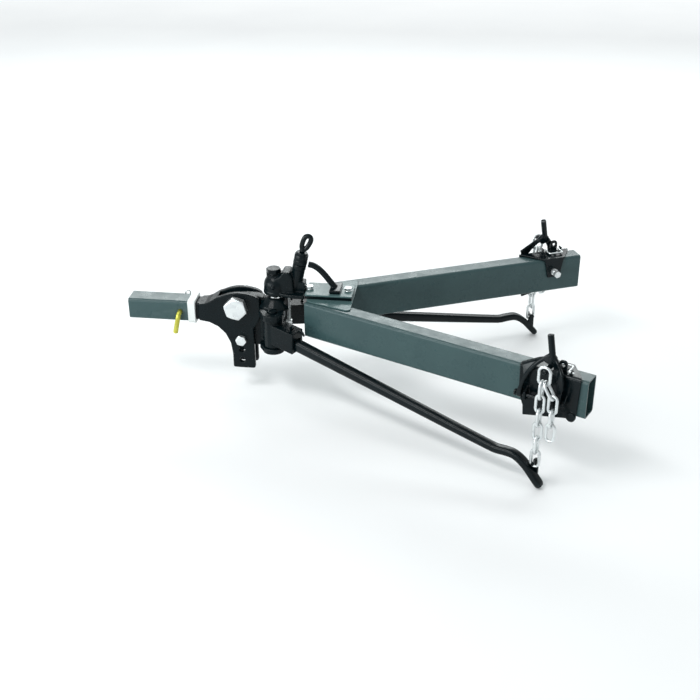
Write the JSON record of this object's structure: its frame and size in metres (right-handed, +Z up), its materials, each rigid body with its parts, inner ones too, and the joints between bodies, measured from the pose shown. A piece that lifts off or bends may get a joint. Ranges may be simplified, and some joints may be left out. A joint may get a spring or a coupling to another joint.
{
  "type": "weight distribution hitch",
  "caption": "Weight distribution hitch coupled to a V-nose trailer frame: drawbar, adjustable ball mount, two spring bars hung by chains from snap-up rail brackets.",
  "frame": {"origin": "centre of the receiver tube's open front end", "axes": "+X from the towing vehicle back to the trailer, +Z up, so -Y is the vehicle's left"},
  "size_m": [1.2579, 0.8678, 0.4728],
  "materials": {
    "grey_paint": "satin",
    "light_paint": "satin",
    "white_paint": "satin",
    "black_casting": "satin",
    "black_steel": "semi-gloss",
    "zinc": "satin",
    "yellow_zinc": "satin",
    "chrome": "polished"
  },
  "bodies": {
    "receiver": {"receiver_tube": "grey_paint", "receiver_collar": "white_paint", "shank": "black_casting", "pivot_bolt": "zinc", "pivot_nut": "zinc", "adjust_bolt": "zinc", "adjust_nut": "zinc", "ball_mount_head": "black_casting", "tow_ball": "chrome", "tow_ball_nut": "zinc"},
    "hitch_pin": {"hitch_pin": "yellow_zinc"},
    "pin_clip": {"hitch_pin_clip": "zinc"},
    "trailer": {"coupler_body": "black_casting", "coupler_cap_nut": "black_casting", "latch_sleeve": "black_casting", "grab_handle": "black_steel", "clamp_bolt": "zinc", "mount_plate": "light_paint", "gusset_plate": "light_paint", "plate_bolt_front": "zinc", "plate_bolt_rear": "zinc", "rail_l": "grey_paint", "bracket_l": "black_steel", "set_bolt_l": "zinc", "hinge_pin_l": "black_steel", "hinge_keeper_l": "black_steel", "rail_r": "grey_paint", "bracket_r": "black_steel", "set_bolt_r": "zinc", "hinge_pin_r": "black_steel", "hinge_keeper_r": "black_steel"},
    "pull_ring": {"pull_ring": "black_steel"},
    "bar_l": {"bar_socket_l": "black_casting", "spring_bar_l": "black_steel", "bar_clip_l": "black_steel"},
    "lift_arm_l": {"lift_arm_l": "black_steel"},
    "chain_hook_l": {"chain_link_l_0": "zinc"},
    "chain_l": {"chain_link_l_1": "zinc", "chain_link_l_2": "zinc", "chain_link_l_3": "zinc", "chain_link_l_4": "zinc", "chain_link_l_5": "zinc", "chain_link_l_6": "zinc", "chain_tail_l": "zinc"},
    "lock_clip_l": {"lock_clip_l": "zinc"},
    "bar_r": {"bar_socket_r": "black_casting", "spring_bar_r": "black_steel", "bar_clip_r": "black_steel"},
    "lift_arm_r": {"lift_arm_r": "black_steel"},
    "chain_hook_r": {"chain_link_r_0": "zinc"},
    "chain_r": {"chain_link_r_1": "zinc", "chain_link_r_2": "zinc", "chain_link_r_3": "zinc", "chain_link_r_4": "zinc", "chain_link_r_5": "zinc", "chain_link_r_6": "zinc", "chain_tail_r": "zinc"},
    "lock_clip_r": {"lock_clip_r": "zinc"}
  },
  "joints": [
    {"name": "hitch_pin_turn", "type": "hinge", "parent": "receiver", "child": "hitch_pin", "pos_m": [0.147, 0, 0], "axis": [0, 1, 0], "range_deg": [-60, 60]},
    {"name": "pin_clip_pull", "type": "slide", "parent": "hitch_pin", "child": "pin_clip", "axis": [0, 0, 1], "range_m": [0, 0.04]},
    {"name": "trailer_yaw", "type": "hinge", "parent": "receiver", "child": "trailer", "pos_m": [0.415, 0, 0.085], "axis": [0, 0, 1], "range_deg": [-15, 15]},
    {"name": "pull_ring_lift", "type": "slide", "parent": "trailer", "child": "pull_ring", "axis": [0.2079, 0, 0.9781], "range_m": [0, 0.015], "stiffness_N_per_m": 800, "springref_m": -0.005},
    {"name": "bar_swing_l", "type": "hinge", "parent": "receiver", "child": "bar_l", "pos_m": [0.415, -0.06, -0.035], "axis": [0, 0, 1], "range_deg": [-15, 15]},
    {"name": "lift_arm_swing_l", "type": "hinge", "parent": "trailer", "child": "lift_arm_l", "pos_m": [1.12742, -0.37577, -0.005], "axis": [0.9063, -0.4226, 0], "range_deg": [0, 125]},
    {"name": "chain_hook_swing_l", "type": "hinge", "parent": "lift_arm_l", "child": "chain_hook_l", "pos_m": [1.13251, -0.40981, 0.0991], "axis": [0.9063, -0.4226, 0], "range_deg": [-125, 0]},
    {"name": "chain_swing_l", "type": "hinge", "parent": "chain_hook_l", "child": "chain_l", "pos_m": [1.1278, -0.40762, 0.0521], "axis": [0, 1, 0], "range_deg": [-6, 6]},
    {"name": "lock_clip_lift_l", "type": "hinge", "parent": "trailer", "child": "lock_clip_l", "pos_m": [1.17647, -0.36996, 0.073], "axis": [0.9063, -0.4226, 0], "range_deg": [0, 75]},
    {"name": "bar_swing_r", "type": "hinge", "parent": "receiver", "child": "bar_r", "pos_m": [0.415, 0.06, -0.035], "axis": [0, 0, 1], "range_deg": [-15, 15]},
    {"name": "lift_arm_swing_r", "type": "hinge", "parent": "trailer", "child": "lift_arm_r", "pos_m": [1.12742, 0.37577, -0.005], "axis": [-0.9063, -0.4226, 0], "range_deg": [0, 125]},
    {"name": "chain_hook_swing_r", "type": "hinge", "parent": "lift_arm_r", "child": "chain_hook_r", "pos_m": [1.13251, 0.40981, 0.0991], "axis": [-0.9063, -0.4226, 0], "range_deg": [-125, 0]},
    {"name": "chain_swing_r", "type": "hinge", "parent": "chain_hook_r", "child": "chain_r", "pos_m": [1.1278, 0.40762, 0.0521], "axis": [0, 1, 0], "range_deg": [-6, 6]},
    {"name": "lock_clip_lift_r", "type": "hinge", "parent": "trailer", "child": "lock_clip_r", "pos_m": [1.17647, 0.36996, 0.073], "axis": [-0.9063, -0.4226, 0], "range_deg": [0, 75]}
  ],
  "couplings": [
    {"joint": "bar_swing_l", "follows": "trailer_yaw", "ratio": 1},
    {"joint": "chain_hook_swing_l", "follows": "lift_arm_swing_l", "ratio": -1},
    {"joint": "chain_swing_l", "follows": "trailer_yaw", "ratio": 0.2715},
    {"joint": "bar_swing_r", "follows": "trailer_yaw", "ratio": 1},
    {"joint": "chain_hook_swing_r", "follows": "lift_arm_swing_r", "ratio": -1},
    {"joint": "chain_swing_r", "follows": "trailer_yaw", "ratio": -0.2715}
  ]
}
